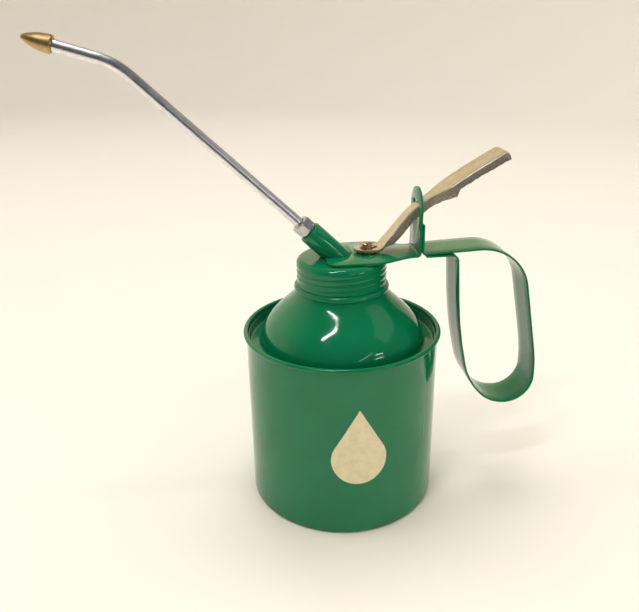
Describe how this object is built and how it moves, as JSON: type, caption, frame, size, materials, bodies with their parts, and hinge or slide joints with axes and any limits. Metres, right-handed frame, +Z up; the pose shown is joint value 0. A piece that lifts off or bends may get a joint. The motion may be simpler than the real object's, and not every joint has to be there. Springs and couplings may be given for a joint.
{
  "type": "pump oil can",
  "caption": "Green enamelled pump oil can: a cylindrical can with a domed top, a screw-on lift pump with a thumb lever, a strap handle and a long bent spout.",
  "frame": {"origin": "centre of the can's flat underside, on the ground", "axes": "+Z up along the can's axis, +X towards the handle, -X towards the spout; XZ is the plane of symmetry"},
  "size_m": [0.2167, 0.092, 0.215],
  "materials": {
    "can_body_enamel": "gloss baked enamel over pressed steel",
    "can_top_enamel": "gloss baked enamel over pressed steel",
    "cap_seal_rubber": "oil-proof rubber",
    "pump_cap_enamel": "gloss baked enamel over pressed steel",
    "bracket_enamel": "gloss baked enamel over pressed steel",
    "handle_strap_enamel": "gloss baked enamel over pressed steel",
    "spout_boss_enamel": "gloss baked enamel over pressed steel",
    "gland_nut_zinc": "turned and plated",
    "gland_packing_rubber": "oil-proof rubber",
    "spout_tube_chrome": "bright plated tube",
    "nozzle_tip_brass": "turned brass",
    "pump_barrel_steel": "plain steel",
    "rod_guide_brass": "turned brass",
    "delivery_tube_brass": "turned brass",
    "foot_valve_brass": "turned brass",
    "ball_stop_brass": "turned brass",
    "foot_ball_steel": "plain steel",
    "piston_ball_steel": "plain steel",
    "suction_tube_steel": "plain steel",
    "strainer_brass": "turned brass",
    "plunger_rod_brass": "turned brass",
    "piston_brass": "turned brass",
    "cup_leather_leather": "oiled leather",
    "plunger_spring_steel": "plain steel",
    "lever_nickel": "dull nickel plate, worn"
  },
  "bodies": {
    "can": {"can_body": "can_body_enamel", "can_top": "can_top_enamel"},
    "seal": {"cap_seal": "cap_seal_rubber"},
    "head": {"pump_cap": "pump_cap_enamel", "bracket": "bracket_enamel", "handle_strap": "handle_strap_enamel", "spout_boss": "spout_boss_enamel", "gland_nut": "gland_nut_zinc", "gland_packing": "gland_packing_rubber", "pump_barrel": "pump_barrel_steel", "rod_guide": "rod_guide_brass", "delivery_tube": "delivery_tube_brass", "foot_valve": "foot_valve_brass", "ball_stop": "ball_stop_brass", "suction_tube": "suction_tube_steel", "strainer": "strainer_brass"},
    "spout": {"spout_tube": "spout_tube_chrome", "nozzle_tip": "nozzle_tip_brass"},
    "lever": {"lever": "lever_nickel"},
    "plunger": {"plunger_rod": "plunger_rod_brass", "piston": "piston_brass", "cup_leather": "cup_leather_leather", "plunger_spring": "plunger_spring_steel"},
    "foot_valve_ball": {"foot_ball": "foot_ball_steel"},
    "piston_valve_ball": {"piston_ball": "piston_ball_steel"}
  },
  "joints": [
    {"name": "thread_rise", "type": "slide", "parent": "can", "child": "seal", "axis": [0, 0, 1], "range_m": [0, 0.0078]},
    {"name": "head_turn", "type": "hinge", "parent": "seal", "child": "head", "pos_m": [0, 0, 0], "axis": [0, 0, 1], "range_deg": [0, 1080]},
    {"name": "lever_press", "type": "hinge", "parent": "head", "child": "lever", "pos_m": [0.0341, 0, 0.1354], "axis": [0, 1, 0], "range_deg": [0, 15]},
    {"name": "plunger_lift", "type": "slide", "parent": "head", "child": "plunger", "axis": [0, 0, 1], "range_m": [0, 0.00647], "stiffness_N_per_m": 1900, "springref_m": -0.003, "deforming": ["plunger_spring"]},
    {"name": "foot_ball_lift", "type": "slide", "parent": "head", "child": "foot_valve_ball", "axis": [0, 0, 1], "range_m": [0, 0.0015]},
    {"name": "piston_ball_lift", "type": "slide", "parent": "plunger", "child": "piston_valve_ball", "axis": [0, 0, 1], "range_m": [0, 0.0015]},
    {"name": "spout_swivel", "type": "hinge", "parent": "head", "child": "spout", "pos_m": [-0.0018, 0, 0.1189], "axis": [-0.7193, 0, 0.6947], "continuous": true}
  ],
  "couplings": [
    {"joint": "head_turn", "follows": "thread_rise", "rad_per_m": 2416.6},
    {"joint": "lever_press", "follows": "plunger_lift", "rad_per_m": 40.404}
  ]
}
